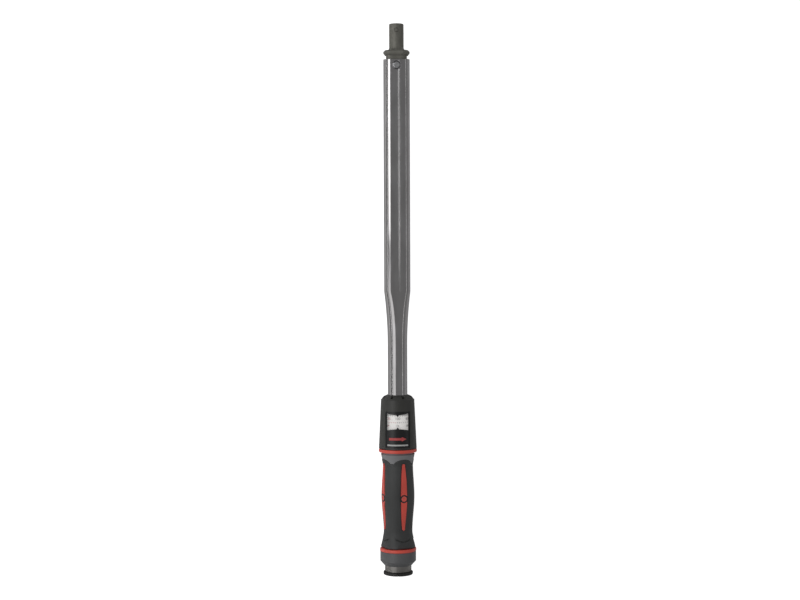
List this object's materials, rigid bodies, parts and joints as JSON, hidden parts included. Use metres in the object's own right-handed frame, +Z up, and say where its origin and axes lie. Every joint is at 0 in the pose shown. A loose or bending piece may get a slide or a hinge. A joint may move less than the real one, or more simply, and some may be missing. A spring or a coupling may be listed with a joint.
{
  "type": "torque wrench",
  "caption": "Click torque handle with a round spigot for plug-in heads, swaged tube, scale window, soft grip with red inserts and pull-to-turn knob.",
  "frame": {"origin": "on the surface that the wrench lies on, under the middle of its length", "axes": "+X along the wrench from the knob to the spigot, +Z up out of the scale window"},
  "size_m": [0.6058, 0.042, 0.042],
  "materials": {
    "satin_chrome": "satin chrome plate, drawn lengthwise",
    "phosphate_steel": "dark phosphate, slightly rough",
    "hard_steel": "ground",
    "spring_steel": "oiled",
    "bronze": "turned",
    "black_plastic": "fine matte grain",
    "dark_plastic": "satin moulded",
    "grey_plastic": "satin moulded",
    "cap_plastic": "fine matte",
    "gloss_panel": "gloss black",
    "clear_lens": "clear polycarbonate",
    "red_plastic": "satin red",
    "white_plastic": "white, printed",
    "grip_rubber": "soft grip rubber",
    "seal_rubber": "smooth",
    "knurled_metal": "grey anodised, knurled"
  },
  "bodies": {
    "handle": {"outer_tube": "satin_chrome", "pivot_pin": "hard_steel", "pivot_washer_front": "bronze", "pivot_washer_back": "bronze", "plunger_guide": "bronze", "main_spring": "spring_steel", "scale_housing": "black_plastic", "window_panel": "gloss_panel", "window_lens": "clear_lens", "drum_ring": "grey_plastic", "housing_collar": "black_plastic", "red_ring_upper": "red_plastic", "red_ring_lower": "red_plastic", "grip_core": "grey_plastic", "soft_grip": "grip_rubber", "grip_insert_1": "red_plastic", "grip_insert_2": "red_plastic", "grip_insert_3": "red_plastic", "grip_insert_4": "red_plastic", "rear_collar": "dark_plastic", "knob_seal": "seal_rubber", "end_plug": "bronze", "plug_pins": "hard_steel", "thrust_race_lower": "hard_steel", "thrust_balls": "hard_steel", "ball_cage": "bronze"},
    "lever": {"spigot_lever": "phosphate_steel", "detent_spring": "spring_steel"},
    "spigot_button": {"detent_pin": "hard_steel"},
    "trip_block": {"trip_block": "hard_steel"},
    "plunger": {"plunger": "hard_steel", "spring_cup": "hard_steel"},
    "load_nut": {"load_nut": "hard_steel", "load_keys": "hard_steel", "scale_carrier": "grey_plastic", "spring_washer": "hard_steel"},
    "scale_drum": {"scale_drum": "white_plastic"},
    "adjuster": {"lead_screw": "hard_steel", "thrust_race_upper": "hard_steel", "knob_screw": "hard_steel"},
    "knob": {"adjuster_knob": "knurled_metal", "detent_balls": "hard_steel", "detent_clip": "spring_steel", "knob_cap": "cap_plastic"}
  },
  "joints": [
    {"name": "trip", "type": "hinge", "parent": "handle", "child": "lever", "pos_m": [0.2574, 0, 0.021], "axis": [0, 0, -1], "range_deg": [0, 2.5], "stiffness_Nm_per_rad": 60},
    {"name": "plunger_slide", "type": "slide", "parent": "handle", "child": "plunger", "axis": [1, 0, 0], "range_m": [-0.0028, 0]},
    {"name": "block_tilt", "type": "hinge", "parent": "plunger", "child": "trip_block", "pos_m": [0.1397, 0.003, 0.021], "axis": [0, 0, -1], "range_deg": [-29.5, 0]},
    {"name": "spigot_button_press", "type": "slide", "parent": "lever", "child": "spigot_button", "axis": [0, 0, 1], "range_m": [0, 0.0015], "stiffness_N_per_m": 300, "springref_m": 0.002},
    {"name": "adjuster_turn", "type": "hinge", "parent": "handle", "child": "adjuster", "pos_m": [-0.3029, 0, 0.021], "axis": [1, 0, 0], "range_deg": [-1441, 2161]},
    {"name": "load_slide", "type": "slide", "parent": "handle", "child": "load_nut", "axis": [1, 0, 0], "range_m": [-0.012, 0.018], "deforming": ["main_spring"]},
    {"name": "drum_turn", "type": "hinge", "parent": "handle", "child": "scale_drum", "pos_m": [-0.1334, 0, 0.021], "axis": [1, 0, 0], "range_deg": [-120.5, 180.5]},
    {"name": "knob_pull", "type": "slide", "parent": "adjuster", "child": "knob", "axis": [-1, 0, 0], "range_m": [0, 0.005]}
  ],
  "couplings": [
    {"joint": "plunger_slide", "follows": "trip", "m_per_rad": -0.0596},
    {"joint": "block_tilt", "follows": "trip", "ratio": -11.4},
    {"joint": "adjuster_turn", "follows": "load_slide", "rad_per_m": 2094.4},
    {"joint": "drum_turn", "follows": "load_slide", "rad_per_m": 174.53}
  ]
}
